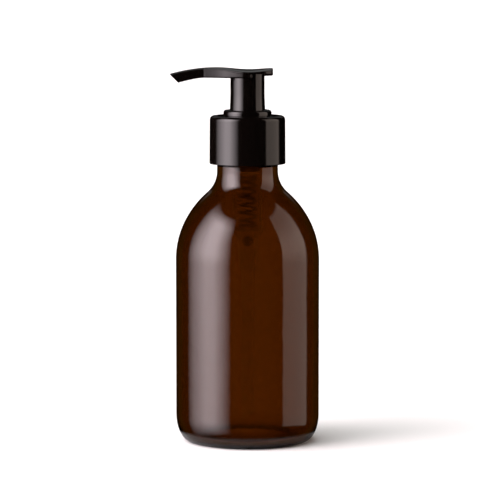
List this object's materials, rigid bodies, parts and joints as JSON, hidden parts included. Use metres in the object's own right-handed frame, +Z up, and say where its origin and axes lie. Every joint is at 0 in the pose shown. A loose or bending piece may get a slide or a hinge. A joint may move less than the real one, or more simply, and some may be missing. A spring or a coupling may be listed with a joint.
{
  "type": "soap pump dispenser",
  "caption": "Round amber glass bottle with a rounded shoulder, closed by a black screw-on lotion pump with a smooth collar, thumb pad and short curved spout.",
  "frame": {"origin": "on the table under the middle of the bottle, on the ring that it stands on", "axes": "+Z up along the bottle's axis, the spout points to -X at rest, the thumb pad's back edge to +X"},
  "size_m": [0.0636, 0.0614, 0.1603],
  "materials": {
    "amber_glass": "clear amber glass, glossy",
    "black_plastic": "black polypropylene, semi-gloss",
    "natural_plastic": "uncoloured polypropylene, satin",
    "tube_plastic": "uncoloured polyethylene tube, satin",
    "soft_plastic": "soft polyethylene, satin",
    "foam_washer": "closed-cell foam washer, matt",
    "spring_steel": "drawn stainless wire",
    "ball_steel": "polished stainless ball"
  },
  "bodies": {
    "glass": {"bottle": "amber_glass"},
    "pump_core": {"pump_housing": "natural_plastic", "lock_ring": "black_plastic", "neck_gasket": "foam_washer", "dip_tube": "tube_plastic", "ball_cage": "natural_plastic", "stem_wiper": "soft_plastic", "return_spring": "spring_steel"},
    "closure": {"collar": "black_plastic"},
    "plunger": {"piston_rod": "natural_plastic"},
    "seal": {"piston_seal": "soft_plastic"},
    "actuator": {"pump_head": "black_plastic", "pump_stem": "black_plastic"},
    "check_ball": {"inlet_ball": "ball_steel"}
  },
  "joints": [
    {"name": "pump_lift", "type": "slide", "parent": "glass", "child": "pump_core", "axis": [0, 0, 1], "range_m": [0, 0.00635]},
    {"name": "collar_unscrew", "type": "hinge", "parent": "pump_core", "child": "closure", "pos_m": [0, 0, 0.13], "axis": [0, 0, 1], "range_deg": [0, 540]},
    {"name": "head_press", "type": "slide", "parent": "pump_core", "child": "plunger", "axis": [0, 0, -1], "range_m": [0, 0.013], "stiffness_N_per_m": 800, "springref_m": -0.008, "deforming": ["return_spring"]},
    {"name": "head_turn", "type": "hinge", "parent": "plunger", "child": "actuator", "pos_m": [0, 0, 0.13], "axis": [0, 0, 1], "continuous": true},
    {"name": "seal_lag", "type": "slide", "parent": "plunger", "child": "seal", "axis": [0, 0, 1], "range_m": [0, 0.001]},
    {"name": "ball_lift", "type": "slide", "parent": "pump_core", "child": "check_ball", "axis": [0, 0, 1], "range_m": [0, 0.0013]}
  ],
  "couplings": [
    {"joint": "pump_lift", "follows": "collar_unscrew", "m_per_rad": 0.00067322}
  ]
}
